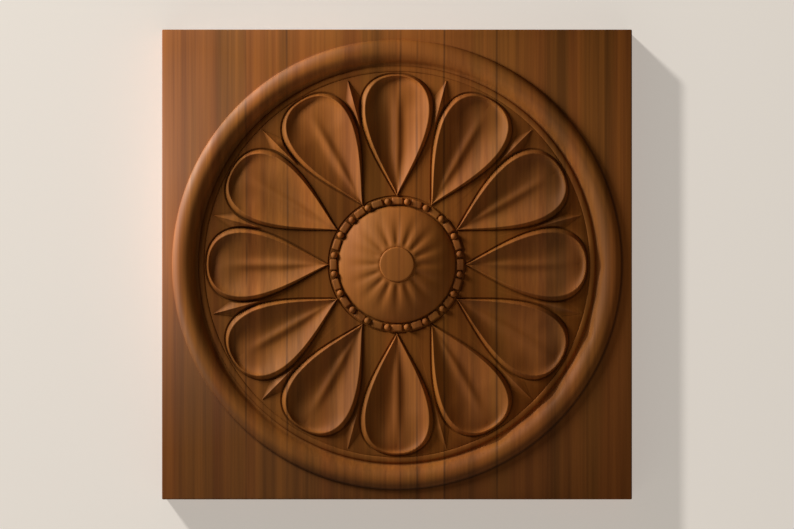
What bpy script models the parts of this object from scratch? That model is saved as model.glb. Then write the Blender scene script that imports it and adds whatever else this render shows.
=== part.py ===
# A carved wooden rosette on a square panel, cut from one board.
# The panel hangs upright: the front faces -Y, up is +Z, and the origin is the
# centre of the flat back. Heights are measured from the back towards the front.

import bmesh
import bpy
from math import cos, exp, pi, radians, sin
from mathutils import Vector

# Driving dimensions, in metres
PANEL_SIDE = 0.300
GROUND = 0.030
EDGE_EASE = 0.0008
FIELD = GROUND - 0.0042

# The half-round ring: its inner side is a hollow foot and then a round rise to the
# crest, its outer side a quarter of an ellipse down to the ground
RING_OUTER = 0.1436
RING_CREST = 0.1380
RING_INNER = 0.1278
RING_RISE = 0.0030
RING_FULLNESS = 2.4
RING_FILLET = 0.48
RING_INNER_SHARES = (0.0, 0.18, 0.38, 0.68)
RING_OUTER_TURNS = (0.0, 45.0, 90.0)

# Gouge marks at the ring's inner foot, by their angle clockwise from up, in degrees
MARKS_REACH = 0.0017
MARKS_START = (74.0, 90.0)
MARKS_END = (150.0, 164.0)
MARKS_APART = 20.0
FIRST_MARK = 110.6

# The groove at the ring's foot and the astragal inside it
GROOVE_FLOOR = FIELD - 0.0004
ASTRAGAL_OUTER = 0.1268
ASTRAGAL_INNER = 0.1233
ASTRAGAL_RISE = 0.0007

PETALS = 12
PETAL_ROOT = 0.0434
PETAL_TIP = 0.1217
PETAL_HALF_WIDTH = 0.0233
PETAL_ROOT_POWER = 1.15
PETAL_TIP_POWER = 0.45
RIM_HEIGHT = 0.0040
RIM_HEIGHT_AT_ROOT = 0.0012
RIM_FULL_AT = 0.75
TIP_DROP = 0.0016
TIP_DROP_POWER = 6
RIM_SPREAD = 0.885
RIM_SET_BACK = 0.0008

# The hollow in a petal and the rib along it; the ranges are shares of the petal's length
SCOOP_DEPTH = 0.0060
SCOOP_DEEPENS = (-0.15, 0.60)
SCOOP_SHALLOWS = (0.60, 1.0)
TIP_SHALLOWS = 0.42
SCOOP_POWER = 1.9
TIP_STEEPER = 2.8
SCOOP_STEEPENS = (0.66, 0.97)
RIB_RISE = 0.0018
RIB_SWELLS = (0.05, 0.40)
RIB_FADES = (0.58, 0.97)
RIB_SPREAD = 0.0031
RIB_START = 0.0470
RIB_END = 0.1165
PETAL_SINK = 0.0002
PETAL_BURIED = 0.0040
BED_DEPTH = 0.0030
BED_SPREAD = 0.90

SEPAL_ROOT = 0.0894
SEPAL_SHOULDER = 0.1070
SEPAL_TIP = 0.1217
SEPAL_HALF_WIDTH = 0.0060
SEPAL_RIDGE = 0.0026
SEPAL_EDGE = 0.0003
SEPAL_ROOT_WIDTH = 0.25
SEPAL_LEAST_WIDTH = 0.04
SEPAL_ROOT_RIDGE = 0.20
SEPAL_LEAST_RIDGE = 0.10
SEPAL_FOLD = 0.36
SEPAL_WAIST = 0.40
SEPAL_BURIED = 0.0014

# The seat of the beads and reels
SEAT_INNER = 0.0375
SEAT_OUTER = 0.0436
SEAT = FIELD - 0.0003
SEAT_WALL = 0.0003
BEADS = 20
BEAD_CIRCLE = 0.0406
BEAD_RADIUS = 0.0021
BEAD_CENTRE = SEAT + 0.0013
REEL_LENGTH = 0.0072
REEL_WIDTH = 0.0046
REEL_HEIGHT = 0.0017
REEL_EASE = 0.0008
REEL_BURIED = 0.0010

BOSS_EDGE = FIELD + 0.0008
BOSS_RISE = 0.0090
BOSS_FULLNESS = 2.8
FLUTES = 16
FLUTE_START = 0.0106
FLUTE_RUN_IN = 0.0050
FLUTE_END = 0.0355
FLUTE_RUN_OUT = 0.0180
FLUTE_DEPTH = 0.0008
FLUTE_SHARPNESS = 1.6
BUTTON_RADIUS = 0.0112
BUTTON_ROLL = 0.0010
BUTTON_RISE = 0.0008
BUTTON_CROWN = 0.0003

# How finely the curves are cut into flats
AROUND = 64
BOSS_STEPS = 5
PETAL_STEPS = 20
SCOOP_LEVELS = (1.0, 0.74, 0.46, 0.21, 0.0)
SEPAL_STATIONS = 4

# Edges sharper than this, in degrees, are drawn as edges
CARVED_ANGLE = 35.0
SEPAL_ANGLE = 20.0
BEAD_ANGLE = 60.0


def clock_point(radius, clock, height):
    """A point by its distance from the centre, its angle clockwise from up and its height."""
    return Vector((radius * sin(clock), -height, radius * cos(clock)))


def smooth(value, start, end):
    """Rise gently from 0 at start to 1 at end."""
    share = min(max((value - start) / (end - start), 0.0), 1.0)
    return share * share * (3.0 - 2.0 * share)


def skin(body, loops):
    """Join neighbouring loops of points with faces; a loop of one point becomes a fan."""
    rows = [[body.verts.new(point) for point in loop] for loop in loops]
    for inner, outer in zip(rows, rows[1:]):
        for i in range(len(outer)):
            j = (i + 1) % len(outer)
            if len(inner) == 1:
                body.faces.new((inner[0], outer[i], outer[j]))
            else:
                body.faces.new((inner[i], outer[i], outer[j], inner[j]))
    return rows


def finish(body, name, smooth_angle=CARVED_ANGLE):
    """Weld a body, turn its faces outwards, split its bent faces and name its object."""
    bmesh.ops.remove_doubles(body, verts=body.verts, dist=0.00001)
    bmesh.ops.recalc_face_normals(body, faces=body.faces)
    bmesh.ops.triangulate(body, faces=[face for face in body.faces if len(face.verts) == 4])
    mesh = bpy.data.meshes.new(name)
    body.to_mesh(mesh)
    body.free()
    mesh.shade_smooth()
    mesh.set_sharp_from_angle(angle=radians(smooth_angle))
    piece = bpy.data.objects.new(name, mesh)
    bpy.context.scene.collection.objects.link(piece)
    return piece


# The board, the ring, the field and the boss are one surface, worked out as
# loops round the centre from the button to the square edge and over to the back.

def gouge_marks(clock):
    """How far the gouge cut outwards into the ring's foot: a row of notches at lower right."""
    degrees = (clock * 180.0 / pi) % 360.0
    stretch = smooth(degrees, *MARKS_START) * (1.0 - smooth(degrees, *MARKS_END))
    return MARKS_REACH * stretch * (1.0 - abs(sin(pi * (degrees - FIRST_MARK) / MARKS_APART)))


def boss_cap(radius):
    """Height of the boss before its flutes are cut: a shallow cap."""
    return BOSS_EDGE + BOSS_RISE * (1.0 - (radius / SEAT_INNER) ** BOSS_FULLNESS)


def boss_height(radius, clock):
    """The boss with its sixteen flutes, which fade at both ends."""
    fade = smooth(radius, FLUTE_START, FLUTE_START + FLUTE_RUN_IN)
    fade *= 1.0 - smooth(radius, FLUTE_END - FLUTE_RUN_OUT, FLUTE_END)
    return boss_cap(radius) - FLUTE_DEPTH * fade * (0.5 + 0.5 * cos(FLUTES * clock)) ** FLUTE_SHARPNESS


def round_loop(radius, height):
    """One level loop round the centre."""
    return [clock_point(radius, 2.0 * pi * i / AROUND, height) for i in range(AROUND)]


def square_loop(half_side, height):
    """A square loop whose points lie at the same angles as the round loops' points."""
    points = []
    for i in range(AROUND):
        clock = 2.0 * pi * i / AROUND
        reach = half_side / max(abs(sin(clock)), abs(cos(clock)))
        points.append(clock_point(reach, clock, height))
    return points


def boss_loops():
    """The button and the fluted boss, from the middle outwards."""
    flat = BUTTON_RADIUS - BUTTON_ROLL
    top = boss_cap(flat) + BUTTON_RISE
    loops = [[clock_point(0.0, 0.0, top + BUTTON_CROWN)]]
    loops.append(round_loop(flat, top))
    loops.append(round_loop(BUTTON_RADIUS, top - 0.5 * BUTTON_RISE))
    first = BUTTON_RADIUS + BUTTON_CROWN
    angles = [2.0 * pi * i / AROUND for i in range(AROUND)]
    for step in range(BOSS_STEPS + 1):
        radius = first + (SEAT_INNER - first) * step / BOSS_STEPS
        loops.append([clock_point(radius, angle, boss_height(radius, angle)) for angle in angles])
    return loops


def field_loops():
    """The seat of the beads, the flat field, the astragal and the groove outside it."""
    return [
        round_loop(SEAT_INNER + SEAT_WALL, SEAT),
        round_loop(SEAT_OUTER, SEAT),
        round_loop(SEAT_OUTER + SEAT_WALL, FIELD),
        round_loop(ASTRAGAL_INNER, FIELD),
        round_loop(0.5 * (ASTRAGAL_INNER + ASTRAGAL_OUTER), FIELD + ASTRAGAL_RISE),
        round_loop(ASTRAGAL_OUTER, GROOVE_FLOOR),
    ]


def ring_section():
    """The ring's section as radius and height, from its inner foot over the crest to the ground."""
    top = GROUND + RING_RISE
    section = []
    for share in RING_INNER_SHARES:
        rise = (1.0 - (1.0 - share) ** RING_FULLNESS) * smooth(share, 0.0, RING_FILLET)
        radius = RING_INNER + (RING_CREST - RING_INNER) * share
        section.append((radius, GROOVE_FLOOR + (top - GROOVE_FLOOR) * rise))
    for degrees in RING_OUTER_TURNS:
        turn = radians(degrees)
        radius = RING_CREST + (RING_OUTER - RING_CREST) * sin(turn)
        section.append((radius, GROUND + RING_RISE * cos(turn)))
    return section


def ring_loops():
    """The ring's loops; the gouge marks move its inner side."""
    loops = []
    for radius, height in ring_section():
        inner = smooth(RING_CREST - radius, 0.0, RING_CREST - RING_INNER)
        angles = [2.0 * pi * i / AROUND for i in range(AROUND)]
        loops.append([clock_point(radius + gouge_marks(angle) * inner, angle, height) for angle in angles])
    return loops


def make_panel():
    """The board with its ring, field and boss as one closed body."""
    body = bmesh.new()
    half = 0.5 * PANEL_SIDE
    sides = [
        square_loop(half - EDGE_EASE, GROUND),
        square_loop(half, GROUND - EDGE_EASE),
        square_loop(half, EDGE_EASE),
        square_loop(half - EDGE_EASE, 0.0),
    ]
    rows = skin(body, boss_loops() + field_loops() + ring_loops() + sides)
    body.faces.new(rows[-1])
    return finish(body, "carved_panel")


# A petal is a scooped leaf: a wall leans in from its foot to a thin rim, and
# inside the rim the hollow falls away and rises again to a rib along the middle.

def petal_half_width(share):
    """Half the width of a petal's foot at a share of its length from the root."""
    widest = PETAL_ROOT_POWER / (PETAL_ROOT_POWER + PETAL_TIP_POWER)
    most = widest ** PETAL_ROOT_POWER * (1.0 - widest) ** PETAL_TIP_POWER
    return PETAL_HALF_WIDTH * share ** PETAL_ROOT_POWER * (1.0 - share) ** PETAL_TIP_POWER / most


def rim_height(share):
    """Height of the rim over the field: low at the root, full on the flanks, lower at the tip."""
    rise = smooth(share, 0.0, RIM_FULL_AT)
    return RIM_HEIGHT_AT_ROOT + (RIM_HEIGHT - RIM_HEIGHT_AT_ROOT) * rise - TIP_DROP * share ** TIP_DROP_POWER


def hollowed(share, across, hollow):
    """Height inside the rim: hollow is 1 at the rim and 0 on the rib."""
    depth = SCOOP_DEPTH * smooth(share, *SCOOP_DEEPENS) * (1.0 - TIP_SHALLOWS * smooth(share, *SCOOP_SHALLOWS))
    power = SCOOP_POWER + TIP_STEEPER * smooth(share, *SCOOP_STEEPENS)
    rib = RIB_RISE * smooth(share, *RIB_SWELLS) * (1.0 - smooth(share, *RIB_FADES))
    return rim_height(share) - depth * (1.0 - hollow ** power) + rib * exp(-(across / RIB_SPREAD) ** 2)


def petal_loop(clock, spread, height, end_gap=0.0, hollow=None):
    """One loop round a petal: its width is the foot's times spread.

    A hollow of 1 lies on the rim and one of 0 on the midrib, where the loop has
    become a line run up and back. Without a hollow the loop is level, at height."""
    radius_line = Vector((sin(clock), 0.0, cos(clock)))
    cross_line = Vector((cos(clock), 0.0, -sin(clock)))
    points = []
    for i in range(PETAL_STEPS):
        turn = 2.0 * pi * i / PETAL_STEPS
        share = 0.5 + 0.5 * cos(turn)
        across = petal_half_width(share) * spread * (1.0 if sin(turn) >= 0.0 else -1.0)
        along = PETAL_ROOT + end_gap + (PETAL_TIP - PETAL_ROOT - 2.0 * end_gap) * share
        level = height
        if hollow is not None:
            across *= hollow
            spine = RIB_START + (RIB_END - RIB_START) * share
            along = spine + (along - spine) * hollow
            level = hollowed(share, across, hollow)
        points.append(radius_line * along + cross_line * across + Vector((0.0, -(FIELD + level), 0.0)))
    return points


def make_beds():
    """Twelve shallow beds to cut into the field, so that the petals can be hollowed below it."""
    body = bmesh.new()
    for number in range(PETALS):
        clock = 2.0 * pi * number / PETALS
        floor = petal_loop(clock, BED_SPREAD, -BED_DEPTH, RIM_SET_BACK)
        mouth = petal_loop(clock, BED_SPREAD, BED_DEPTH, RIM_SET_BACK)
        rows = skin(body, [floor, mouth])
        body.faces.new(rows[0])
        body.faces.new(rows[-1])
    return finish(body, "petal_beds")


def make_petals():
    """Twelve petals, one closed body each, sunk into the field and filling their beds."""
    body = bmesh.new()
    for number in range(PETALS):
        clock = 2.0 * pi * number / PETALS
        loops = [petal_loop(clock, 1.0, -PETAL_BURIED), petal_loop(clock, 1.0, -PETAL_SINK)]
        for hollow in SCOOP_LEVELS:
            loops.append(petal_loop(clock, RIM_SPREAD, 0.0, RIM_SET_BACK, hollow))
        rows = skin(body, loops)
        body.faces.new(rows[0])
    return finish(body, "petals")


# Between each pair of petals the pointed tip of a sepal shows, ridged like a roof.

def sepal_section(along):
    """A sepal's outline across, at one place along it: a hollow-sided tent over the field."""
    to_tip = (SEPAL_TIP - along) / (SEPAL_TIP - SEPAL_SHOULDER)
    from_root = (along - SEPAL_ROOT) / (SEPAL_SHOULDER - SEPAL_ROOT)
    swell = SEPAL_ROOT_WIDTH + (1.0 - SEPAL_ROOT_WIDTH) * from_root
    half = SEPAL_HALF_WIDTH * max(min(to_tip, swell), SEPAL_LEAST_WIDTH)
    swell = SEPAL_ROOT_RIDGE + (1.0 - SEPAL_ROOT_RIDGE) * from_root
    ridge = SEPAL_EDGE + SEPAL_RIDGE * max(min(to_tip, swell), SEPAL_LEAST_RIDGE)
    fold = SEPAL_FOLD * half
    waist = SEPAL_EDGE + SEPAL_WAIST * (ridge - SEPAL_EDGE)
    left = [(-half, -SEPAL_BURIED), (-half, SEPAL_EDGE), (-fold, waist)]
    right = [(-across, level) for across, level in reversed(left)]
    return left + [(0.0, ridge)] + right


def make_sepals():
    """Twelve sepal tips, one closed body each."""
    body = bmesh.new()
    for number in range(PETALS):
        clock = 2.0 * pi * (number + 0.5) / PETALS
        radius_line = Vector((sin(clock), 0.0, cos(clock)))
        cross_line = Vector((cos(clock), 0.0, -sin(clock)))
        loops = []
        for step in range(SEPAL_STATIONS + 1):
            along = SEPAL_ROOT + (SEPAL_TIP - SEPAL_ROOT) * step / SEPAL_STATIONS
            loops.append([radius_line * along + cross_line * across
                          + Vector((0.0, -(FIELD + level), 0.0))
                          for across, level in sepal_section(along)])
        rows = skin(body, loops)
        body.faces.new(rows[0])
        body.faces.new(rows[-1])
    return finish(body, "sepals", SEPAL_ANGLE)


# The ring of beads and reels lies in its own seat between the boss and the petals.

def make_beads():
    """Twenty round beads, partly sunk in the seat."""
    body = bmesh.new()
    for number in range(BEADS):
        clock = 2.0 * pi * (number + 0.5) / BEADS
        bead = bmesh.ops.create_icosphere(body, subdivisions=2, radius=BEAD_RADIUS)
        centre = clock_point(BEAD_CIRCLE, clock, BEAD_CENTRE)
        bmesh.ops.translate(body, verts=bead["verts"], vec=centre)
    return finish(body, "beads", BEAD_ANGLE)


def reel_section(shrink):
    """A reel's section across: a low block with leaning sides, made smaller towards its ends."""
    half = 0.5 * (REEL_WIDTH - shrink)
    flat = half - REEL_EASE
    top = REEL_HEIGHT - shrink
    return ((-half, -REEL_BURIED), (-flat, top), (flat, top), (half, -REEL_BURIED))


def make_reels():
    """Twenty short bars with eased edges, one between each pair of beads."""
    half_length = 0.5 * REEL_LENGTH
    full = half_length - REEL_EASE
    stations = ((-half_length, REEL_EASE), (-full, 0.0), (full, 0.0), (half_length, REEL_EASE))
    body = bmesh.new()
    for number in range(BEADS):
        clock = 2.0 * pi * number / BEADS
        along_line = Vector((cos(clock), 0.0, -sin(clock)))
        radius_line = Vector((sin(clock), 0.0, cos(clock)))
        loops = []
        for along, shrink in stations:
            loops.append([along_line * along + radius_line * (BEAD_CIRCLE + across)
                          + Vector((0.0, -(SEAT + level), 0.0))
                          for across, level in reel_section(shrink)])
        rows = skin(body, loops)
        body.faces.new(rows[0])
        body.faces.new(rows[-1])
    return finish(body, "reels")


def wood():
    """Warm orange-brown hardwood with a satin finish."""
    material = bpy.data.materials.new("waxed_hardwood")
    material.use_nodes = True
    shader = material.node_tree.nodes["Principled BSDF"]
    shader.inputs["Base Color"].default_value = (0.27, 0.115, 0.042, 1.0)
    shader.inputs["Roughness"].default_value = 0.45
    shader.inputs["Metallic"].default_value = 0.0
    return material


def carve(panel, guide, operation):
    """Grow the panel by a carved part or cut a bed out of it; the guide then only shapes it."""
    step = panel.modifiers.new(guide.name, "BOOLEAN")
    step.operation = operation
    step.solver = "EXACT"
    step.object = guide
    guide.hide_render = True
    guide.display_type = "WIRE"
    guide.parent = panel


def main():
    for old in list(bpy.data.objects):
        bpy.data.objects.remove(old, do_unlink=True)
    panel = make_panel()
    panel.data.materials.append(wood())
    carve(panel, make_beds(), "DIFFERENCE")
    for make in (make_petals, make_sepals, make_beads, make_reels):
        carve(panel, make(), "UNION")


main()
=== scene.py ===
# %% [markdown]
# # A carved wooden rosette
#
# The object is one square board with a rosette cut into its face: a half-round ring,
# twelve scooped petals, the tips of twelve sepals, a ring of beads and reels, and a
# fluted boss. It is all one piece of wood, so this lesson ends with one closed mesh.
#
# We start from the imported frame. It holds the plain solid that the physics uses, and
# the finished carving has to stay inside that solid's box.

# %% Load the frame
from math import atan2, cos, exp, hypot, pi, radians, sin

import bmesh
import bpy
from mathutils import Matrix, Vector


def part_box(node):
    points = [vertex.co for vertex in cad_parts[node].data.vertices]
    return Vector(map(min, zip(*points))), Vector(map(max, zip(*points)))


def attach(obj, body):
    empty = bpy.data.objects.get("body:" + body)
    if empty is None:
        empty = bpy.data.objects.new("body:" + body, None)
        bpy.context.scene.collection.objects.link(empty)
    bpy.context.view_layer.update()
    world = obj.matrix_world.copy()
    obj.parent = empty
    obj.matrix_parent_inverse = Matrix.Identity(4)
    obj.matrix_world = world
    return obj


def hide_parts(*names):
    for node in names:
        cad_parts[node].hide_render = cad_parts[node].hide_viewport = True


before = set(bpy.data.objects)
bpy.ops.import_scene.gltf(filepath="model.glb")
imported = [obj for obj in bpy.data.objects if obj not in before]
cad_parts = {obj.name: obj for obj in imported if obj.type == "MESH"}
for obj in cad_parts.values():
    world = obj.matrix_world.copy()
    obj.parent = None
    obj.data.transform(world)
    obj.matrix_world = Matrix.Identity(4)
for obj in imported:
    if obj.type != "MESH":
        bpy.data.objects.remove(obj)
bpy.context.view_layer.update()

CAD_LOW, CAD_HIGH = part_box("carved_panel")
SIDE = CAD_HIGH[0] - CAD_LOW[0]
print("board", round(SIDE * 1000, 1), "mm square,", round((CAD_HIGH[1] - CAD_LOW[1]) * 1000, 1), "mm deep")

# %% [markdown]
# ## The bench
#
# A carver lays the board on its back. We do the same: on the bench X is to the right,
# Y is up the panel, and Z is the height above the flat back. Places on the rosette are
# easiest to name by their distance from the centre and by their angle, clockwise from
# up like the hands of a clock. At the end the board is stood up in one move.
#
# Blender's operators act on whatever is selected, so the first helper clears the
# selection before it picks the pieces that we mean.

# %% Helpers for the bench
GROUND = 0.030
FIELD = GROUND - 0.0042


def only(*pieces):
    """Select these pieces and nothing else; the last one becomes the active one."""
    for thing in list(bpy.context.selected_objects):
        thing.select_set(False)
    for piece in pieces:
        piece.select_set(True)
    bpy.context.view_layer.objects.active = pieces[-1]


def open_up(piece):
    """Go into edit mode on one piece with all of it selected."""
    only(piece)
    bpy.ops.object.mode_set(mode="EDIT")
    bpy.ops.mesh.select_all(action="SELECT")


def close_up():
    """Weld what touches, turn the faces outwards, cut bent faces into flat ones, leave edit mode."""
    bpy.ops.mesh.select_all(action="SELECT")
    bpy.ops.mesh.remove_doubles(threshold=0.0000002)
    bpy.ops.mesh.normals_make_consistent(inside=False)
    bpy.ops.mesh.quads_convert_to_tris(quad_method="SHORTEST_DIAGONAL", ngon_method="BEAUTY")
    bpy.ops.object.mode_set(mode="OBJECT")


def smooth(value, start, end):
    """Rise gently from 0 at start to 1 at end."""
    share = min(max((value - start) / (end - start), 0.0), 1.0)
    return share * share * (3.0 - 2.0 * share)


def report_body(piece):
    """Print whether a piece is one closed body: how many edges lack exactly two faces."""
    mesh = bmesh.new()
    mesh.from_mesh(piece.data)
    loose = sum(1 for edge in mesh.edges if not edge.is_manifold)
    volume = round(mesh.calc_volume() * 1e6, 2)
    print(piece.name, len(mesh.faces), "faces,", loose, "open edges,", volume, "ml")
    mesh.free()


def join(piece, tool, operation):
    """Cut a tool out of a piece, or grow the piece by it, and use the tool up."""
    only(piece)
    step = piece.modifiers.new(operation, "BOOLEAN")
    step.operation = operation
    step.solver = "MANIFOLD"
    step.object = tool
    bpy.ops.object.modifier_apply(modifier=step.name)
    bpy.data.objects.remove(tool, do_unlink=True)
    report_body(piece)


def ring_of(piece, count, first_clock=0.0, stray=None):
    """Copy a piece round the centre, each copy with its own mesh, and join the copies into one."""
    copies = []
    for number in range(count):
        only(piece)
        bpy.ops.object.duplicate(linked=False)
        clock = first_clock + 2.0 * pi * number / count + (stray(number) if stray else 0.0)
        bpy.context.object.rotation_euler = (0.0, 0.0, -clock)
        bpy.ops.object.transform_apply(location=False, rotation=True, scale=False)
        copies.append(bpy.context.object)
    bpy.data.objects.remove(piece, do_unlink=True)
    only(*copies)
    bpy.ops.object.join()
    print(bpy.context.object.name, "x", count)
    report_body(bpy.context.object)
    return bpy.context.object


# %% [markdown]
# ## The turned middle
#
# The ring, the sunk field and the boss are round, so they are drawn once as a profile
# and spun round the centre, as a turner would cut them. The profile is one vertex
# extruded from point to point. It starts in the middle of the button, runs outwards
# over the boss, the seat of the beads, the flat field, the thin astragal and the big
# ring, and closes below, inside the wood.

# %% The boss and its button
SEAT_INNER = 0.0375
BOSS_EDGE = FIELD + 0.0008
BOSS_RISE = 0.0090
BOSS_FULLNESS = 2.8
BOSS_LIP = 0.0002
BOSS_ROLL = 0.0003
BOSS_STEPS = 26
BUTTON_RADIUS = 0.0112
BUTTON_RISE = 0.0008
BUTTON_ROLL = 0.0010
BUTTON_DOME = 0.0003
BUTTON_SINK = 0.0003
BUTTON_GAP = 0.0006


def boss_cap(radius):
    """Height of the boss before its flutes are cut: a shallow cap."""
    return BOSS_EDGE + BOSS_RISE * (1.0 - (radius / SEAT_INNER) ** BOSS_FULLNESS)


def boss_profile():
    """The button with its rounded edge, then the cap down to the seat of the beads."""
    flat = BUTTON_RADIUS - BUTTON_ROLL
    top = boss_cap(flat) + BUTTON_RISE
    points = []
    for share in (0.0, 0.2, 0.4, 0.6, 0.8, 0.92):
        points.append((flat * share, top + BUTTON_DOME * (1.0 - share ** 2)))
    for step in range(7):
        turn = 0.5 * pi * step / 6.0
        fall = (BUTTON_RISE + BUTTON_SINK) * (1.0 - cos(turn))
        points.append((flat + BUTTON_ROLL * sin(turn), top - fall))
    first = BUTTON_RADIUS + BUTTON_GAP
    last = SEAT_INNER - BOSS_LIP
    for step in range(BOSS_STEPS + 1):
        radius = first + (last - first) * step / BOSS_STEPS
        points.append((radius, boss_cap(radius) - BOSS_ROLL * smooth(step, BOSS_STEPS - 2, BOSS_STEPS)))
    return points


print("boss profile of", len(boss_profile()), "points")

# %% The seat, the field and the astragal
SEAT_OUTER = 0.0436
SEAT_EASE = 0.0005
SEAT_SLOPE = 0.0008
SEAT = FIELD - 0.0003
ASTRAGAL_OUTER = 0.1268
ASTRAGAL_INNER = 0.1233
ASTRAGAL_RISE = 0.0005
RING_INNER = 0.1278
VEE = 0.0004
VEE_SLOPE = 0.0006
VEE_FLOOR = 0.0003
HAIR = 0.0001


def field_profile():
    """The seat between its two cut lines, the flat field, and the astragal between two more."""
    points = [(SEAT_INNER, SEAT - HAIR), (SEAT_INNER + SEAT_EASE, SEAT), (SEAT_OUTER - VEE_SLOPE, SEAT)]
    points += [(SEAT_OUTER, SEAT - VEE), (SEAT_OUTER + SEAT_SLOPE, FIELD)]
    points += [(ASTRAGAL_INNER - VEE_SLOPE, FIELD), (ASTRAGAL_INNER - HAIR, FIELD - 0.6 * VEE)]
    middle = 0.5 * (ASTRAGAL_INNER + ASTRAGAL_OUTER)
    half = 0.5 * (ASTRAGAL_OUTER - ASTRAGAL_INNER)
    for step in range(9):
        turn = pi * step / 8.0
        points.append((middle - half * cos(turn), FIELD + ASTRAGAL_RISE * sin(turn)))
    points.append((ASTRAGAL_OUTER + VEE_FLOOR, FIELD - VEE))
    points.append((RING_INNER - VEE_FLOOR, FIELD - VEE))
    return points


print("field profile of", len(field_profile()), "points")

# %% The ring
RING_OUTER = 0.1436
RING_CREST = 0.1380
RING_RISE = 0.0033
RING_FULLNESS = 2.4
RING_FILLET = 0.26
RING_STEPS = 22
CREST_STEPS = 12
SKIRT = 0.0012


def ring_profile():
    """A hollow at the inner foot, a round rise to the crest, then a short fall to the ground."""
    top = GROUND + RING_RISE
    foot = FIELD - VEE
    points = []
    for step in range(RING_STEPS):
        share = step / RING_STEPS
        rise = (1.0 - (1.0 - share) ** RING_FULLNESS) * smooth(share, 0.0, RING_FILLET)
        points.append((RING_INNER + (RING_CREST - RING_INNER) * share, foot + (top - foot) * rise))
    for step in range(CREST_STEPS):
        turn = 0.5 * pi * step / (CREST_STEPS - 0.5)
        points.append((RING_CREST + (RING_OUTER - RING_CREST) * sin(turn), GROUND + RING_RISE * cos(turn)))
    points.append((RING_OUTER, GROUND + HAIR))
    return points + [(RING_OUTER + HAIR, GROUND - SKIRT)]


print("ring profile of", len(ring_profile()), "points")

# %% Turn the disc
DISC_BOTTOM = GROUND - 0.0125
SPIN_STEPS = 384


def turn_disc():
    """Extrude one vertex along the profile and spin the line once round."""
    profile = boss_profile() + field_profile() + ring_profile()
    profile += [(RING_OUTER + HAIR, DISC_BOTTOM), (0.0, DISC_BOTTOM)]
    bpy.ops.mesh.primitive_plane_add(size=0.001)
    disc = bpy.context.object
    disc.name = "turned_disc"
    open_up(disc)
    bpy.ops.mesh.merge(type="CENTER")
    bpy.ops.transform.translate(value=(profile[0][0], 0.0, profile[0][1]))
    for (radius, height), (next_radius, next_height) in zip(profile, profile[1:]):
        step = (next_radius - radius, 0.0, next_height - height)
        bpy.ops.mesh.extrude_vertices_move(TRANSFORM_OT_translate={"value": step})
    bpy.ops.mesh.select_all(action="SELECT")
    bpy.ops.mesh.spin(steps=SPIN_STEPS, angle=2.0 * pi, center=(0.0, 0.0, 0.0), axis=(0.0, 0.0, 1.0))
    close_up()
    print("profile of", len(profile), "points, disc of", len(disc.data.polygons), "faces")
    return disc


disc = turn_disc()

# %% [markdown]
# ## Flutes and gouge marks
#
# Some shapes are cut by hand into the turned ones. Sixteen flutes fan out from the
# button and fade before the edge of the boss. From the right to the lower right the
# ring's inner foot has a row of notches, one every 20 degrees, where the gouge stopped.
# Both could be cut with tools of their own, but they are so shallow that two rules that
# move the disc's vertices a little do the same with clean faces.

# %% Cut the flutes and the uneven foot
FLUTES = 16
FLUTE_DEPTH = 0.0007
FLUTE_START = 0.0106
FLUTE_END = 0.0365
FLUTE_GROWS = 0.005
FLUTE_FADES = 0.018
FLUTE_SHARPNESS = 1.3
MARK_DEPTH = 0.0017
MARKS_ROUND = 18
FIRST_MARK = radians(110.6)
MARK_REACH = 0.6


def flute(radius, clock):
    """How deep the flutes go at a place on the boss."""
    fade = smooth(radius, FLUTE_START, FLUTE_START + FLUTE_GROWS)
    fade *= 1.0 - smooth(radius, FLUTE_END - FLUTE_FADES, FLUTE_END)
    return FLUTE_DEPTH * fade * (0.5 + 0.5 * cos(FLUTES * clock)) ** FLUTE_SHARPNESS


def gouge_marks(clock):
    """How far the gouge cut outwards into the ring's inner foot, in notches with a small ripple."""
    degrees = (clock * 180.0 / pi) % 360.0
    stretch = smooth(degrees, 74.0, 90.0) * (1.0 - smooth(degrees, 150.0, 164.0))
    notches = 1.0 - abs(sin(0.5 * MARKS_ROUND * (clock - FIRST_MARK)))
    return MARK_DEPTH * stretch * (notches + 0.12 * sin(37.0 * clock) + 0.10)


def cut_by_hand(disc):
    """Move the disc's vertices by the two rules above."""
    crest = RING_INNER + MARK_REACH * (RING_CREST - RING_INNER)
    for vertex in disc.data.vertices:
        radius = hypot(vertex.co.x, vertex.co.y)
        clock = atan2(vertex.co.x, vertex.co.y)
        if BUTTON_RADIUS + VEE_FLOOR < radius < SEAT_INNER and vertex.co.z > FIELD:
            vertex.co.z -= flute(radius, clock)
        if RING_INNER - HAIR < radius < crest and vertex.co.z > DISC_BOTTOM + 0.001:
            share = (crest - radius) / (crest - RING_INNER)
            scale = 1.0 + gouge_marks(clock) * smooth(share, 0.0, 1.0) / radius
            vertex.co.x *= scale
            vertex.co.y *= scale


cut_by_hand(disc)
print(FLUTES, "flutes,", FLUTE_DEPTH * 1000, "mm deep; gouge marks,", MARK_DEPTH * 1000, "mm")

# %% [markdown]
# ## The petals
#
# A petal is a pointed leaf with a leaning wall, a thin rim, and inside it a hollow that
# falls away and rises again to a rib. All of its loops have the same outline in some
# proportion, so one circle is extruded again and again, and each new loop is put in its
# place by the same formula. Every vertex remembers its angle on the first circle in an
# attribute that the extrusion carries along. The last loop is the rib itself: both
# sides meet there and are welded. Towards the tip the hollow gets shallower, keeps
# falling nearly to the rim and then rises in a steep wall, and the rim itself dips.

# %% The petal's outline
PETALS = 12
PETAL_POINTS = 96
PETAL_ROOT = 0.0434
PETAL_TIP = 0.1217
PETAL_HALF_WIDTH = 0.0233
ROOT_POWER = 1.15
TIP_POWER = 0.45
WIDEST = ROOT_POWER / (ROOT_POWER + TIP_POWER)


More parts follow.
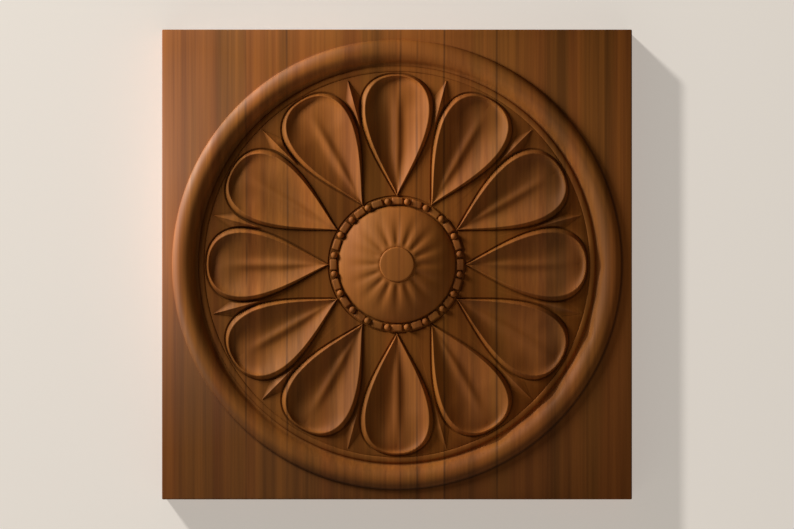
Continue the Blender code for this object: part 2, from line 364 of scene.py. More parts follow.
def half_width(share):
    """Half the width of the petal's foot at a share of its length from the root."""
    most = WIDEST ** ROOT_POWER * (1.0 - WIDEST) ** TIP_POWER
    return PETAL_HALF_WIDTH * share ** ROOT_POWER * max(1.0 - share, 0.0) ** TIP_POWER / most


def outline(turn, spread=1.0, set_back=0.0):
    """A point across and along the petal; turn is 0 at the tip and half a circle at the root."""
    share = 0.5 + 0.5 * cos(turn)
    side = 1.0 if sin(turn) >= 0.0 else -1.0
    along = PETAL_ROOT + set_back + (PETAL_TIP - PETAL_ROOT - 2.0 * set_back) * share
    return side * half_width(share) * spread, along, share


print("petal widest at", round(WIDEST, 2), "of its length")

# %% The rim
RIM_HEIGHT = 0.0039
RIM_AT_ROOT = 0.0011
RIM_FULL_AT = 0.75
RIM_SPREAD = 0.885
RIM_SET_BACK = 0.0008
RIM_WIDTH = 0.0004
TIP_DROP = 0.0025
TIP_DROP_POWER = 6


def rim_height(share):
    """Height of the rim over the field: low at the root, highest on the flanks, lower at the tip."""
    rise = smooth(share, 0.0, RIM_FULL_AT)
    return RIM_AT_ROOT + (RIM_HEIGHT - RIM_AT_ROOT) * rise - TIP_DROP * share ** TIP_DROP_POWER


print("rim at the tip", round(rim_height(1.0) * 1000, 2), "mm over the field")

# %% The hollow and the rib
SCOOP_DEPTH = 0.0064
SCOOP_DEEPENS = (-0.15, 0.6)
TIP_SHALLOWS = 0.50
TIP_STRETCH = (0.60, 1.0)
SIDE_STEEPNESS = 1.9
TIP_STEEPNESS = 3.6
STEEPENS = (0.66, 0.97)
RIB_RISE = 0.0018
RIB_HALF_WIDTH = 0.0050
RIB_LEAST_WIDTH = 0.0006
RIB_WIDTH_SHARE = 0.30
RIB_ROUNDNESS = 0.62
RIB_START = 0.0470
RIB_END = 0.1165
RIB_GROWS = (0.05, 0.40)
RIB_FADES = (0.58, 0.97)


def scooped(turn, hollow):
    """A point in the hollow: hollow is 1 at the rim and 0 on the rib."""
    spread = RIM_SPREAD - RIM_WIDTH / PETAL_HALF_WIDTH
    across, along, share = outline(turn, spread, RIM_SET_BACK + RIM_WIDTH)
    spine = RIB_START + (RIB_END - RIB_START) * share
    rib_width = min(RIB_HALF_WIDTH, RIB_LEAST_WIDTH + RIB_WIDTH_SHARE * abs(across))
    across *= hollow
    along = spine + (along - spine) * hollow
    shallower = 1.0 - TIP_SHALLOWS * smooth(share, *TIP_STRETCH)
    depth = SCOOP_DEPTH * smooth(share, *SCOOP_DEEPENS) * shallower
    rib = RIB_RISE * (1.0 - smooth(share, *RIB_FADES)) * smooth(share, *RIB_GROWS)
    steepness = SIDE_STEEPNESS + TIP_STEEPNESS * smooth(share, *STEEPENS)
    height = rim_height(share) - depth * (1.0 - hollow ** steepness)
    height += rib * exp(-(across / (RIB_ROUNDNESS * rib_width)) ** 2)
    return Vector((across, along, FIELD + height))


print("rib from", RIB_START * 1000, "to", RIB_END * 1000, "mm from the middle")

# %% Make the petals
BURIED = 0.0055
WALL_LEVELS = (0.35, 0.7, 0.93)
WALL_ROUNDNESS = 0.85
SCOOP_LEVELS = (0.985, 0.96, 0.93, 0.89, 0.85, 0.77, 0.68, 0.58, 0.48,
                0.39, 0.31, 0.24, 0.18, 0.13, 0.085, 0.04, 0.0)


def make_petal():
    """One petal at twelve o'clock, a closed solid sunk a little into the field."""
    bpy.ops.mesh.primitive_circle_add(vertices=PETAL_POINTS, radius=PETAL_HALF_WIDTH, fill_type="NGON")
    petal = bpy.context.object
    petal.name = "petals"
    turn_layer = petal.data.attributes.new("turn", "FLOAT", "POINT")
    for vertex, turn in zip(petal.data.vertices, turn_layer.data):
        turn.value = atan2(vertex.co.x, vertex.co.y)

    def wall(spread, set_back, height):
        def place(turn):
            across, along, share = outline(turn, spread, set_back)
            return Vector((across, along, FIELD + height(share)))
        return place

    rules = [wall(1.0, 0.0, lambda share: -BURIED), wall(1.0, 0.0, lambda share: 0.0)]
    for part in WALL_LEVELS:
        rules.append(wall(1.0 - (1.0 - RIM_SPREAD) * part, RIM_SET_BACK * part,
                          lambda share, part=part: rim_height(share) * part ** WALL_ROUNDNESS))
    rules.append(wall(RIM_SPREAD, RIM_SET_BACK, lambda share: rim_height(share)))
    rules += [lambda turn, hollow=hollow: scooped(turn, hollow) for hollow in (1.0,) + SCOOP_LEVELS]
    open_up(petal)
    for number, rule in enumerate(rules):
        if number:
            bpy.ops.mesh.extrude_region_move()
        mesh = bmesh.from_edit_mesh(petal.data)
        layer = mesh.verts.layers.float["turn"]
        for vertex in mesh.verts:
            if vertex.select:
                vertex.co = rule(vertex[layer])
        bmesh.update_edit_mesh(petal.data)
    bpy.ops.mesh.delete(type="ONLY_FACE")
    close_up()
    print("petal of", len(petal.data.polygons), "faces")
    return petal


petals = ring_of(make_petal(), PETALS)

# %% [markdown]
# ## Sepals and stop cuts
#
# Between the petals show the tips of the sepals behind them, each a hollow-sided ridge.
# A grid is the easy start for such a sheet: its columns run along the sepal and its rows
# across. Extruding the whole sheet down gives it a body. The carver left them tall at the
# upper left and low at the lower right, so the ring of copies gets one rule of height.
#
# A carver outlines a petal with a narrow stop cut before lowering the wood round it, and
# the dark line at the foot of every petal is what is left of it. The cutter for it is a
# petal outline, a little wider at the top. It also clears a bed inside the outline, and
# the petal is set into that bed.

# %% Make the sepals
SEPAL_ROOT = 0.0880
SEPAL_SHOULDER = 0.1070
SEPAL_TIP = 0.1217
SEPAL_HALF_WIDTH = 0.0058
SEPAL_RIDGE = 0.0026
SEPAL_EDGE = 0.00025
SEPAL_HOLLOW = 1.6
SEPAL_SINK = 0.0009
SEPAL_SINK_LENGTH = 0.008
SEPAL_BURIED = 0.0019
SEPALS_VARY = 0.42
TALLEST_CLOCK = radians(-45.0)


def sepal_height(along, side):
    """Height over the field; side runs from -1 at the left edge to 1 at the right."""
    to_tip = (SEPAL_TIP - along) / (SEPAL_TIP - SEPAL_SHOULDER)
    from_root = (along - SEPAL_ROOT) / (SEPAL_SHOULDER - SEPAL_ROOT)
    ridge = SEPAL_RIDGE * max(min(to_tip ** 0.8 if to_tip > 0.0 else 0.0, 0.15 + 0.85 * from_root), 0.06)
    sink = SEPAL_SINK * (1.0 - smooth(along, SEPAL_ROOT, SEPAL_ROOT + SEPAL_SINK_LENGTH))
    return SEPAL_EDGE - sink + ridge * (1.0 - abs(side)) ** SEPAL_HOLLOW


def sepal_half(along):
    """Half the sepal's width: it swells from its root to the shoulder and runs straight to the tip."""
    to_tip = (SEPAL_TIP - along) / (SEPAL_TIP - SEPAL_SHOULDER)
    from_root = (along - SEPAL_ROOT) / (SEPAL_SHOULDER - SEPAL_ROOT)
    return SEPAL_HALF_WIDTH * max(min(to_tip, 0.25 + 0.75 * from_root), 0.02)


def make_sepal():
    """One sepal at twelve o'clock."""
    bpy.ops.mesh.primitive_grid_add(x_subdivisions=10, y_subdivisions=14, size=2.0)
    sepal = bpy.context.object
    sepal.name = "sepals"
    for vertex in sepal.data.vertices:
        side = vertex.co.x
        along = SEPAL_ROOT + (SEPAL_TIP - SEPAL_ROOT) * (0.5 + 0.5 * vertex.co.y)
        vertex.co = (side * sepal_half(along), along, FIELD + sepal_height(along, side))
    open_up(sepal)
    bpy.ops.mesh.extrude_region_move(TRANSFORM_OT_translate={"value": (0.0, 0.0, -0.01)})
    bpy.ops.transform.resize(value=(1.0, 1.0, 0.0), center_override=(0.0, 0.0, FIELD - SEPAL_BURIED))
    close_up()
    return sepal


def vary_heights(sepals):
    """Make the sepals tall at the upper left and low at the lower right."""
    for vertex in sepals.data.vertices:
        if vertex.co.z > FIELD:
            clock = atan2(vertex.co.x, vertex.co.y)
            vertex.co.z = FIELD + (vertex.co.z - FIELD) * (1.0 + SEPALS_VARY * cos(clock - TALLEST_CLOCK))


sepals = ring_of(make_sepal(), PETALS, pi / PETALS)
vary_heights(sepals)
print("sepals vary by", SEPALS_VARY, "either way")

# %% Make the stop-cut tool
CUT_WIDTH = 0.0014
CUT_DEPTH = 0.0007
CUT_LAND = 0.0007
HOLLOW_DEPTH = 0.0045
CLEAR_ABOVE = 0.0080


def widened(turn, offset):
    """A point of the petal's outline moved straight out from the edge, less near the root."""
    here = Vector(outline(turn)[:2])
    before = Vector(outline(turn - 0.01)[:2])
    after = Vector(outline(turn + 0.01)[:2])
    out = Vector((-(after - before).y, (after - before).x))
    share = 0.5 + 0.5 * cos(turn)
    return here + out.normalized() * offset * (0.25 + 0.75 * smooth(share, 0.0, 0.06))


def make_stop_cut():
    """The cutter for one petal's outline: it hollows the petal's bed and cuts a vee round it."""
    bpy.ops.mesh.primitive_circle_add(vertices=PETAL_POINTS, radius=PETAL_HALF_WIDTH, fill_type="NGON")
    tool = bpy.context.object
    tool.name = "stop_cuts"
    turns = [atan2(vertex.co.x, vertex.co.y) for vertex in tool.data.vertices]
    loops = [(-CUT_LAND, -HOLLOW_DEPTH), (-CUT_LAND, -CUT_DEPTH), (0.1 * CUT_WIDTH, -CUT_DEPTH)]
    loops += [(CUT_WIDTH, HAIR), (CUT_WIDTH, CLEAR_ABOVE)]
    open_up(tool)
    for number, (offset, height) in enumerate(loops):
        if number:
            bpy.ops.mesh.extrude_region_move()
        mesh = bmesh.from_edit_mesh(tool.data)
        lifted = [vertex for vertex in mesh.verts if vertex.select]
        for vertex, turn in zip(lifted, turns):
            vertex.co = Vector((*widened(turn, offset), FIELD + height))
        bmesh.update_edit_mesh(tool.data)
    close_up()
    return tool


stop_cuts = ring_of(make_stop_cut(), PETALS)

# %% [markdown]
# ## Beads and reels
#
# Twenty round beads and twenty short reels sit in the seat round the boss. Each is a
# rounded primitive sunk to about half its height. A carver spaces them by eye, so the
# beads and, less, the reels stray a little from their even places.

# %% Make the beads and the reels
BEADS = 20
BEAD_CIRCLE = 0.0406
BEAD_RADIUS = 0.0021
BEAD_LIFT = 0.0013
BEAD_STRAY = radians(0.7)
REEL_SIZE = (0.0072, 0.0046, 0.0034)
REEL_EASE = 0.0010


def make_bead():
    """One bead at twelve o'clock."""
    bpy.ops.mesh.primitive_uv_sphere_add(segments=20, ring_count=12, radius=BEAD_RADIUS,
                                         location=(0.0, BEAD_CIRCLE, SEAT + BEAD_LIFT))
    bead = bpy.context.object
    bead.name = "beads"
    bpy.ops.object.transform_apply(location=True, rotation=False, scale=False)
    return bead


def make_reel():
    """One reel at twelve o'clock: a block with well eased edges."""
    bpy.ops.mesh.primitive_cube_add(size=1.0, location=(0.0, BEAD_CIRCLE, SEAT))
    reel = bpy.context.object
    reel.name = "reels"
    reel.scale = REEL_SIZE
    bpy.ops.object.transform_apply(location=True, rotation=False, scale=True)
    open_up(reel)
    bpy.ops.mesh.bevel(offset=REEL_EASE, segments=5, profile=0.5, affect="EDGES")
    close_up()
    return reel


def bead_stray(number):
    """A small error in a bead's place, the same each time."""
    return BEAD_STRAY * sin(2.4 * number + 0.5)


beads = ring_of(make_bead(), BEADS, pi / BEADS, bead_stray)
reels = ring_of(make_reel(), BEADS, 0.0, lambda number: 0.6 * bead_stray(number + 3))

# %% [markdown]
# ## The board
#
# The board is a block with its edges eased. It gets a round pocket, and the turned disc
# goes into it, so that the union of the two has one flat ground running up to the ring.
# The order of the cuts is the carver's: sepals first, then the stop cuts, then petals,
# beads and reels.

# %% Put the carving together
EDGE_EASE = 0.0007
POCKET_RADIUS = 0.139
POCKET_DEPTH = GROUND - FIELD + 0.0045


def make_board():
    """The squared and eased board, with the pocket for the disc."""
    bpy.ops.mesh.primitive_cube_add(size=1.0, location=(0.0, 0.0, 0.5 * GROUND))
    board = bpy.context.object
    board.name = "carved_rosette"
    board.scale = (SIDE, SIDE, GROUND)
    bpy.ops.object.transform_apply(location=True, rotation=False, scale=True)
    open_up(board)
    bpy.ops.mesh.bevel(offset=EDGE_EASE, segments=3, profile=0.5, affect="EDGES")
    close_up()
    bpy.ops.mesh.primitive_cylinder_add(vertices=96, radius=POCKET_RADIUS, depth=2.0 * POCKET_DEPTH,
                                        location=(0.0, 0.0, GROUND))
    join(board, bpy.context.object, "DIFFERENCE")
    return board


board = make_board()
join(disc, sepals, "UNION")
join(disc, stop_cuts, "DIFFERENCE")
join(disc, petals, "UNION")
join(disc, beads, "UNION")
join(disc, reels, "UNION")
join(board, disc, "UNION")

# %% [markdown]
# The board is stood up: a quarter turn about X brings its face to -Y and its back to the
# wall at Y = 0. The turn is applied, so the object itself stays at the origin.

# %% Stand the board up
carving = board
only(carving)
carving.rotation_euler = (pi / 2.0, 0.0, 0.0)
bpy.ops.object.transform_apply(location=False, rotation=True, scale=False)
bpy.ops.object.shade_smooth_by_angle(angle=radians(32.0))
triangles = sum(len(face.vertices) - 2 for face in carving.data.polygons)
print("carving of", triangles, "triangles")

# %% [markdown]
# Old stain and wax stay in the cut ground between the petals, and the scooped petals
# themselves are rubbed clean. Both can be equally deep, so depth alone doesn't tell them
# apart. Each vertex therefore gets a number in an attribute, from 0 where it is clean to
# about 0.7 where the mark is thickest, which the wood's material reads. The same mark
# also paints shade onto that ground: it thins towards the ring, and it is thicker along
# the line of the light, where the lamp lights the gaps fully, than across it, where the
# petals already shade them.

# %% Mark where the stain and the painted shade lie
STAIN_AND_SHADE_TOP = 0.0014
STAIN_AND_SHADE_FULL = 0.0003
STAIN_AND_SHADE_MOST = 1.1
STAIN_AND_SHADE_THINS = (0.095, 0.120)
LESS_OUTSIDE = 0.35
LESS_AT_RING = 0.5
STAIN_AND_SHADE_MIDDLE = 0.50
PAINTED_SHADE_SWING = 0.16
LIGHT_CLOCK = radians(-60.0)


def inside_a_rim(across, along):
    """Whether a place in the petal's own directions lies within its rim."""
    share = (along - PETAL_ROOT) / (PETAL_TIP - PETAL_ROOT)
    return 0.0 < share < 1.0 and abs(across) < 0.5 * (1.0 + RIM_SPREAD) * half_width(share)


def mark_stain_and_shade(piece):
    """Write the attribute: most on the field and in the cuts, none in the petals and above."""
    stain_and_shade = piece.data.attributes.new("stain_and_shade", "FLOAT", "POINT")
    pitch = 2.0 * pi / PETALS
    marked = 0
    for vertex, mark in zip(piece.data.vertices, stain_and_shade.data):
        radius = hypot(vertex.co.x, vertex.co.z)
        clock = atan2(vertex.co.x, vertex.co.z)
        off_axis = clock - pitch * round(clock / pitch)
        low = 1.0 - smooth(-vertex.co.y - FIELD, STAIN_AND_SHADE_FULL, STAIN_AND_SHADE_TOP)
        if radius < RING_CREST and not inside_a_rim(radius * sin(off_axis), radius * cos(off_axis)):
            thinner = LESS_OUTSIDE * smooth(radius, *STAIN_AND_SHADE_THINS)
            low *= STAIN_AND_SHADE_MOST - thinner - LESS_AT_RING * smooth(radius, ASTRAGAL_OUTER, RING_INNER)
            # The swing about LIGHT_CLOCK is painted shade: most along the light's line, where the gaps are
            # fully lit.
            mark.value = low * (STAIN_AND_SHADE_MIDDLE + PAINTED_SHADE_SWING * cos(2.0 * (clock - LIGHT_CLOCK)))
            marked += low > 0.5
    print("stained vertices:", marked, "of", len(piece.data.vertices))


mark_stain_and_shade(carving)

# %% [markdown]
# ## The wood
#
# The board is straight-grained hardwood with a wax finish. Its colour runs in long
# upright streaks of several widths, all the way through the board, so the pattern is a
# solid one on Object coordinates, squeezed across and stretched along Z.

# %% Helpers for materials
class Wiring:
    """A short way to add shader nodes and to join them."""

    def __init__(self, material):
        self.tree = material.node_tree

    def add(self, kind, **settings):
        node = self.tree.nodes.new(kind)
        for name, value in settings.items():
            setattr(node, name, value)
        return node

    def put(self, source, socket):
        if hasattr(source, "is_output"):
            self.tree.links.new(source, socket)
        else:
            socket.default_value = source

    def math(self, operation, *values, clamp=False):
        node = self.add("ShaderNodeMath", operation=operation, use_clamp=clamp)
        for value, socket in zip(values, node.inputs):
            self.put(value, socket)
        return node.outputs[0]

    def mix(self, factor, first, second):
        node = self.add("ShaderNodeMix", data_type="RGBA")
        self.put(factor, node.inputs[0])
        self.put(first, node.inputs[6])
        self.put(second, node.inputs[7])
        return node.outputs[2]

    def noise(self, vector, scale, detail=2.0, roughness=0.5):
        squeezed = self.add("ShaderNodeMapping")
        squeezed.inputs["Scale"].default_value = scale
        self.put(vector, squeezed.inputs["Vector"])
        node = self.add("ShaderNodeTexNoise")
        node.inputs["Scale"].default_value = 1.0
        node.inputs["Detail"].default_value = detail
        node.inputs["Roughness"].default_value = roughness
        self.put(squeezed.outputs[0], node.inputs["Vector"])
        return node.outputs["Fac"]

    def spread(self, value, low, high, out_low=0.0, out_high=1.0):
        node = self.add("ShaderNodeMapRange")
        for source, name in ((value, "Value"), (low, "From Min"), (high, "From Max"),
                             (out_low, "To Min"), (out_high, "To Max")):
            self.put(source, node.inputs[name])
        return node.outputs[0]


# %% Start the wood's material
LIGHT_WOOD = (0.50, 0.165, 0.023, 1.0)
DARK_WOOD = (0.18, 0.054, 0.0055, 1.0)
RED_WOOD = (0.42, 0.115, 0.016, 1.0)
OLIVE_WOOD = (0.31, 0.115, 0.013, 1.0)
# The last colour is the dark brown of the grain lines and the stain, and also of all the painted shade
# below.
PATINA_AND_SHADE = (0.040, 0.0134, 0.0027, 1.0)

wood = bpy.data.materials.new("waxed_hardwood")
wood.use_nodes = True
wiring = Wiring(wood)
shader = wood.node_tree.nodes["Principled BSDF"]
place = wiring.add("ShaderNodeTexCoord").outputs["Object"]
axes = wiring.add("ShaderNodeSeparateXYZ")
wiring.put(place, axes.inputs[0])
across, deep, upward = axes.outputs
print("material", wood.name)

# %% [markdown]
# Each noise below is given how often it changes per metre: across the board, in its
# depth, and along the grain. Three of them make broad streaks, narrow streaks and the
# fibre, and a fourth turns the brown a little to red or to olive.

# %% Mix the streaks
BROAD_SHARE = 0.42
NARROW_SHARE = 0.34
FIBRE_SHARE = 0.24
TINT_SHARE = 0.35

broad = wiring.noise(place, (48.0, 14.0, 1.6))
narrow = wiring.noise(place, (230.0, 40.0, 3.0))
fibre = wiring.noise(place, (620.0, 150.0, 9.0), roughness=0.6)
hue = wiring.noise(place, (75.0, 20.0, 2.2), detail=1.0)
tone = wiring.math("MULTIPLY", broad, BROAD_SHARE)
tone = wiring.math("MULTIPLY_ADD", narrow, NARROW_SHARE, tone)
tone = wiring.math("MULTIPLY_ADD", fibre, FIBRE_SHARE, tone)
colour = wiring.mix(wiring.spread(tone, 0.39, 0.60), DARK_WOOD, LIGHT_WOOD)
tint = wiring.mix(wiring.spread(hue, 0.40, 0.60), OLIVE_WOOD, RED_WOOD)
colour = wiring.mix(TINT_SHARE, colour, tint)
print("streaks mixed with", len(wood.node_tree.nodes), "nodes")

# %% [markdown]
# A few thin dark lines run the whole height of the board, over the ring and the petals
# alike, and show that it is one piece. Each is a place across the board. A slow noise
# makes the lines waver, and another lets them come and go.

# %% Draw the dark grain lines
GRAIN_LINES = (-0.0964, -0.0702, 0.0018, 0.0125, 0.0300, 0.0638)
LINE_CORE = 0.0001
LINE_EDGE = 0.0010
LINE_WAVER = 0.0022
LINE_FAINTEST = 0.20
LINE_STRONGEST = 0.62

waver = wiring.noise(place, (9.0, 9.0, 9.0), detail=1.0)
wavering = wiring.math("MULTIPLY_ADD", wiring.math("SUBTRACT", waver, 0.5), LINE_WAVER, across)
lines = 0.0
for line in GRAIN_LINES:
    distance = wiring.math("ABSOLUTE", wiring.math("SUBTRACT", wavering, line))
    lines = wiring.math("MAXIMUM", lines, wiring.spread(distance, LINE_CORE, LINE_EDGE, 1.0, 0.0))
strength = wiring.noise(place, (60.0, 60.0, 14.0))
strength = wiring.spread(strength, 0.38, 0.60, LINE_FAINTEST, LINE_STRONGEST)
colour = wiring.mix(wiring.math("MULTIPLY", lines, strength), colour, PATINA_AND_SHADE)
print("grain lines:", len(GRAIN_LINES))

# %% [markdown]
# ## Stain, painted shade, wear and wax
#
# An old finish isn't even. Stain stays where a cloth doesn't reach, and the high places
# are rubbed light. Shade is painted in as well, to even out and shape the lamp's light.
# These rules go by the place on the rosette: by the distance from its middle, and by how
# far a place lies to the right, up, or towards the lower right.
#
# The back has no ring, and a rule of distance would print a disc on it. So there a large
# number is added to the distance, and all of the back counts as ground.

# %% Measure from the middle of the rosette
BACK_BEGINS = -0.020
BACK_WHOLLY = -0.016

flat = wiring.add("ShaderNodeCombineXYZ")
wiring.put(across, flat.inputs[0])
wiring.put(upward, flat.inputs[2])
length = wiring.add("ShaderNodeVectorMath", operation="LENGTH")
wiring.put(flat.outputs[0], length.inputs[0])
behind = wiring.spread(deep, BACK_BEGINS, BACK_WHOLLY)
radius = wiring.math("ADD", length.outputs["Value"], behind)
inside = wiring.spread(radius, RING_CREST - 0.002, RING_CREST, 1.0, 0.0)
outside = wiring.spread(radius, RING_CREST - 0.001, RING_CREST + 0.003, 0.0, 1.0)
on_ring = wiring.spread(radius, RING_OUTER, RING_OUTER + 0.001, 1.0, 0.0)
slant = wiring.math("SUBTRACT", across, upward)
print("inside and outside part at", RING_CREST * 1000, "mm")

# %% Lay in the stain and the painted shade, and rub the boss light
STAIN_AND_SHADE_AT_LEFT = 1.0
STAIN_AND_SHADE_AT_RIGHT = 0.42
PAINTED_SHADE_RIGHT = 0.24
PAINTED_SHADE_LEFT = 0.13
BOSS_RUBBED = 0.38

marked = wiring.add("ShaderNodeAttribute", attribute_name="stain_and_shade").outputs["Fac"]
# Stain and painted shade on the marked ground: stronger at the left, nearer the lamp, than at the right.
stain_and_shade = wiring.spread(across, -0.12, 0.03, STAIN_AND_SHADE_AT_LEFT, STAIN_AND_SHADE_AT_RIGHT)
colour = wiring.mix(wiring.math("MULTIPLY", marked, stain_and_shade), colour, PATINA_AND_SHADE)
# Painted shade: unmarked wood inside the ring is darkened towards the right, where the lamp's light falls
# off, and a little at the far left, where the lamp is brightest.
right_side = wiring.spread(across, 0.03, 0.12, 0.0, PAINTED_SHADE_RIGHT)
left_side = wiring.spread(across, -0.11, -0.04, PAINTED_SHADE_LEFT, 0.0)
sides = wiring.math("MAXIMUM", right_side, left_side)
clean = wiring.math("SUBTRACT", inside, marked, clamp=True)
colour = wiring.mix(wiring.math("MULTIPLY", sides, clean), colour, PATINA_AND_SHADE)
boss = wiring.spread(radius, SEAT_INNER - 0.001, SEAT_INNER, BOSS_RUBBED, 0.0)
colour = wiring.mix(boss, colour, LIGHT_WOOD)
print("stain from", STAIN_AND_SHADE_AT_LEFT, "at the left to", STAIN_AND_SHADE_AT_RIGHT, "at the right")

# %% Darken the ground at the bottom and in the top left corner
DARKER_LOW = 0.38
DARKER_CORNER = 0.46

# Painted shade: outside the ring the ground is darkened at the bottom, less so at the far right, and in
# the top left corner, which shapes the lamp's pool of light.
low = wiring.spread(upward, -0.085, 0.0, DARKER_LOW, 0.0)
low = wiring.math("MULTIPLY", low, wiring.spread(across, 0.08, 0.14, 1.0, 0.45))
corner = wiring.spread(slant, -0.27, -0.16, DARKER_CORNER, 0.0)
painted_ground_shade = wiring.math("MAXIMUM", low, corner)
colour = wiring.mix(wiring.math("MULTIPLY", outside, painted_ground_shade), colour, PATINA_AND_SHADE)
print("ground darker by", DARKER_LOW, "at the bottom and", DARKER_CORNER, "in the corner")

# %% [markdown]
# Shade is painted into the crevices. Ambient Occlusion tells how hemmed in a place is, once
# within 2 mm for the sharp cuts and once within 6 mm for the feet of the walls, and the
# second is painted weaker towards the lower right. Last comes one painted dark line of
# shade at the ring's outer foot, on the side away from the light.

# %% Paint shade into the crevices
CREVICES = ((0.0020, 0.42), (0.0060, 0.34))
HEMMED_IN = 0.20
OPEN = 0.85

off_seat = wiring.spread(radius, SEAT_OUTER, SEAT_OUTER + 0.001, 0.6, 1.0)
creviced = wiring.math("MULTIPLY", inside, off_seat)
for reach, strength in CREVICES:
    crevice = wiring.add("ShaderNodeAmbientOcclusion", samples=12, only_local=True)
    crevice.inputs["Distance"].default_value = reach
    crevice_shade = wiring.spread(crevice.outputs["AO"], HEMMED_IN, OPEN, strength, 0.0)
    colour = wiring.mix(wiring.math("MULTIPLY", crevice_shade, creviced), colour, PATINA_AND_SHADE)
    creviced = wiring.math("MULTIPLY", creviced, wiring.spread(slant, -0.12, 0.06, 1.0, 0.25))
print("crevices darkened at", [reach * 1000 for reach, strength in CREVICES], "mm")

# %% Paint a line of shade at the ring's outer foot
FOOT_LINE = 0.60

foot = wiring.math("ABSOLUTE", wiring.math("SUBTRACT", radius, RING_OUTER))
shaded = wiring.spread(slant, -0.05, 0.10, 0.0, FOOT_LINE)
# Painted shade: a dark line along the ring's outer foot, none at the upper left and strongest towards the
# lower right.
cut = wiring.math("MULTIPLY", wiring.spread(foot, 0.0003, 0.0013, 1.0, 0.0), shaded)
colour = wiring.mix(cut, colour, PATINA_AND_SHADE)
wiring.put(colour, shader.inputs["Base Color"])
print("foot line at", RING_OUTER * 1000, "mm")

# %% [markdown]
# The wax has a soft sheen. It is polished at the left, on the ground and on the ring's
# outer side, and at the upper left, on the ring's outer side alone. It is dull where the
# stain and the painted shade lie. Fine fibre is too small to carve, so it is a faint bump.

# %% Wax the wood
WAX = 0.34
DULL_SHARE = 0.35
LEFT_POLISH = (-0.145, 0.0, 0.010)
UPPER_POLISH = (-0.075, 0.0, 0.116)
FIBRE_STRENGTH = 0.35
FIBRE_HEIGHT = 0.00015

polish = 0.0
for middle, near, far, most, where in ((LEFT_POLISH, 0.05, 0.13, 0.72, outside),
                                       (UPPER_POLISH, 0.02, 0.07, 0.60, on_ring)):
    away = wiring.add("ShaderNodeVectorMath", operation="DISTANCE")
    wiring.put(flat.outputs[0], away.inputs[0])
    away.inputs[1].default_value = middle
    spot = wiring.spread(away.outputs["Value"], near, far, most, 0.0)
    spot = wiring.math("MULTIPLY", wiring.math("MULTIPLY", spot, where), outside)
    polish = wiring.math("MAXIMUM", polish, spot)
waxed = wiring.math("ADD", polish, WAX)
waxed = wiring.math("MULTIPLY", waxed, wiring.spread(marked, 0.0, 0.5, 1.0, DULL_SHARE))
shader.inputs["Specular IOR Level"].default_value = WAX
wiring.put(waxed, shader.inputs["Specular IOR Level"])
wiring.put(wiring.spread(narrow, 0.3, 0.7, 0.74, 0.64), shader.inputs["Roughness"])
bump = wiring.add("ShaderNodeBump")
bump.inputs["Strength"].default_value = FIBRE_STRENGTH
bump.inputs["Distance"].default_value = FIBRE_HEIGHT
wiring.put(fibre, bump.inputs["Height"])
wiring.put(bump.outputs[0], shader.inputs["Normal"])
carving.data.materials.clear()
carving.data.materials.append(wood)
print("wood of", len(wood.node_tree.nodes), "nodes")

# %% Give the carving its place in the frame
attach(carving, "root")
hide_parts("carved_panel")
print(carving.name, "rides the root and stands in for carved_panel")

# %% [markdown]
# ## Wall, floor, camera and light
#
# The panel hangs on a pale wall. The wall is a sheet that vanishes when it is seen from
# its back, so that it doesn't hide the board from behind, and it glows a little in place
# of the room's light. It throws no light and no shade onto the carving.

# %% Wall and floor
WALL_COLOUR = (0.80, 0.755, 0.70, 1.0)
WALL_GLOW = 0.48
FLOOR_COLOUR = (0.80, 0.77, 0.73, 1.0)
SHEET_SIZE = 3.0


def plain(name, colour, roughness, glow=0.0):
    material = bpy.data.materials.new(name)
    material.use_nodes = True
    shader = material.node_tree.nodes["Principled BSDF"]
    shader.inputs["Base Color"].default_value = colour
    shader.inputs["Roughness"].default_value = roughness
    shader.inputs["Specular IOR Level"].default_value = 0.1
    shader.inputs["Emission Color"].default_value = colour
    shader.inputs["Emission Strength"].default_value = glow
    return material


def one_sided(material):
    """Let the sheet vanish when it is seen from its back."""
    wiring = Wiring(material)
    shader = material.node_tree.nodes["Principled BSDF"]
    output = material.node_tree.nodes["Material Output"]
    clear = wiring.add("ShaderNodeBsdfTransparent")
    choose = wiring.add("ShaderNodeMixShader")
    wiring.put(wiring.add("ShaderNodeNewGeometry").outputs["Backfacing"], choose.inputs[0])
    wiring.put(shader.outputs[0], choose.inputs[1])
    wiring.put(clear.outputs[0], choose.inputs[2])
    wiring.put(choose.outputs[0], output.inputs["Surface"])
    return material


def make_sheet(name, size, centre, turn):
    bpy.ops.mesh.primitive_plane_add(size=size, location=centre, rotation=(turn, 0.0, 0.0))
    sheet = bpy.context.object
    sheet.name = name
    bpy.ops.object.transform_apply(location=True, rotation=True, scale=False)
    return sheet


wall = make_sheet("wall", SHEET_SIZE, (0.0, 0.0012, 0.5), pi / 2.0)
wall.data.materials.append(one_sided(plain("pale_wall", WALL_COLOUR, 0.9, WALL_GLOW)))
wall.visible_diffuse = False
wall.visible_glossy = False
wall.visible_shadow = False
floor = make_sheet("floor", SHEET_SIZE, (0.0, -1.4, -0.9), 0.0)
floor.data.materials.append(plain("pale_floor", FLOOR_COLOUR, 0.9))
print("wall and floor", SHEET_SIZE, "m wide")

# %% [markdown]
# The camera looks straight at the middle of the panel from 3 m, so the sides don't show.
# The lens is as long as it takes for the panel to fill 470 of the picture's 794 pixels.

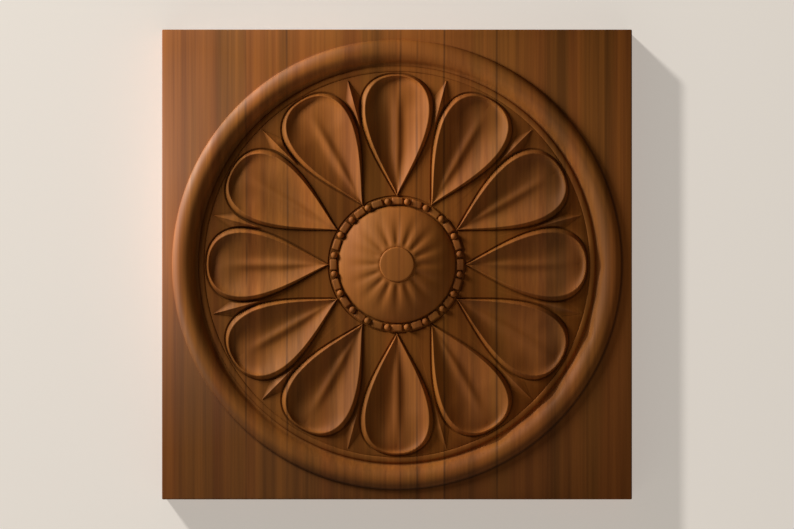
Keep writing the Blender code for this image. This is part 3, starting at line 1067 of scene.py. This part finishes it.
# %% Camera
FRAME_WIDTH_PX = 794.0
PANEL_PX = 470.0
SENSOR = 0.036
CAMERA_DISTANCE = 3.0
view_width = SIDE * FRAME_WIDTH_PX / PANEL_PX
lens = bpy.data.cameras.new("camera")
lens.sensor_width = SENSOR * 1000.0
lens.lens = 1000.0 * SENSOR * CAMERA_DISTANCE / view_width
lens.clip_end = 20.0
camera = bpy.data.objects.new("camera", lens)
camera.location = (0.0, -GROUND - CAMERA_DISTANCE, 0.0)
camera.rotation_euler = (pi / 2.0, 0.0, 0.0)
bpy.context.scene.collection.objects.link(camera)
bpy.context.scene.camera = camera
print("lens", round(lens.lens, 1), "mm")


# %% [markdown]
# One small lamp near the upper left rakes over the carving, so the left side is bright
# and the right side falls into shade. The wall has a lamp of its own, further off, which
# throws the board's shadow to the lower right. Three weak lamps behind the board reach
# only its back and its sides, which the front view doesn't see, and a dim warm room
# fills the shade.

# %% Lamps
WHITE = (1.0, 0.97, 0.92)
BACK_LAMPS = (
    ("right_back", (0.8, 0.9, 0.5)),
    ("left_back", (-0.8, 0.9, 0.5)),
    ("under_back", (0.0, 0.9, -0.9)),
)


def lamp(name, place, target, size, power, colour, shines_on):
    light = bpy.data.lights.new(name, "AREA")
    light.shape = "DISK"
    light.size = size
    light.energy = power
    light.color = colour
    holder = bpy.data.objects.new(name, light)
    holder.location = place
    holder.rotation_euler = (Vector(target) - Vector(place)).to_track_quat("-Z", "Y").to_euler()
    holder.visible_camera = False
    bpy.context.scene.collection.objects.link(holder)
    lit = bpy.data.collections.new(name + "_shines_on")
    for thing in shines_on:
        lit.objects.link(thing)
    holder.light_linking.receiver_collection = lit
    return holder


back_centre = (0.0, 0.0, 0.0)
face_centre = (0.0, -GROUND, 0.0)
lamp("key", (-0.462, -0.187, 0.262), face_centre, 0.22, 3.6, WHITE, (carving,))
lamp("wall_light", (-1.5, -1.5, 1.7), back_centre, 0.25, 40.0, (1.0, 0.98, 0.95), (wall, floor))
for name, position in BACK_LAMPS:
    lamp(name, position, back_centre, 0.4, 3.0, WHITE, (carving,))
print("lamps:", 2 + len(BACK_LAMPS))

# %% The room's own light
ROOM_COLOUR = (1.0, 0.76, 0.42, 1.0)
ROOM_STRENGTH = 0.062

world = bpy.data.worlds.new("soft_room")
world.use_nodes = True
background = world.node_tree.nodes["Background"]
background.inputs["Color"].default_value = ROOM_COLOUR
background.inputs["Strength"].default_value = ROOM_STRENGTH
bpy.context.scene.world = world
bpy.context.scene.view_settings.view_transform = "Standard"
print("room light", ROOM_STRENGTH)
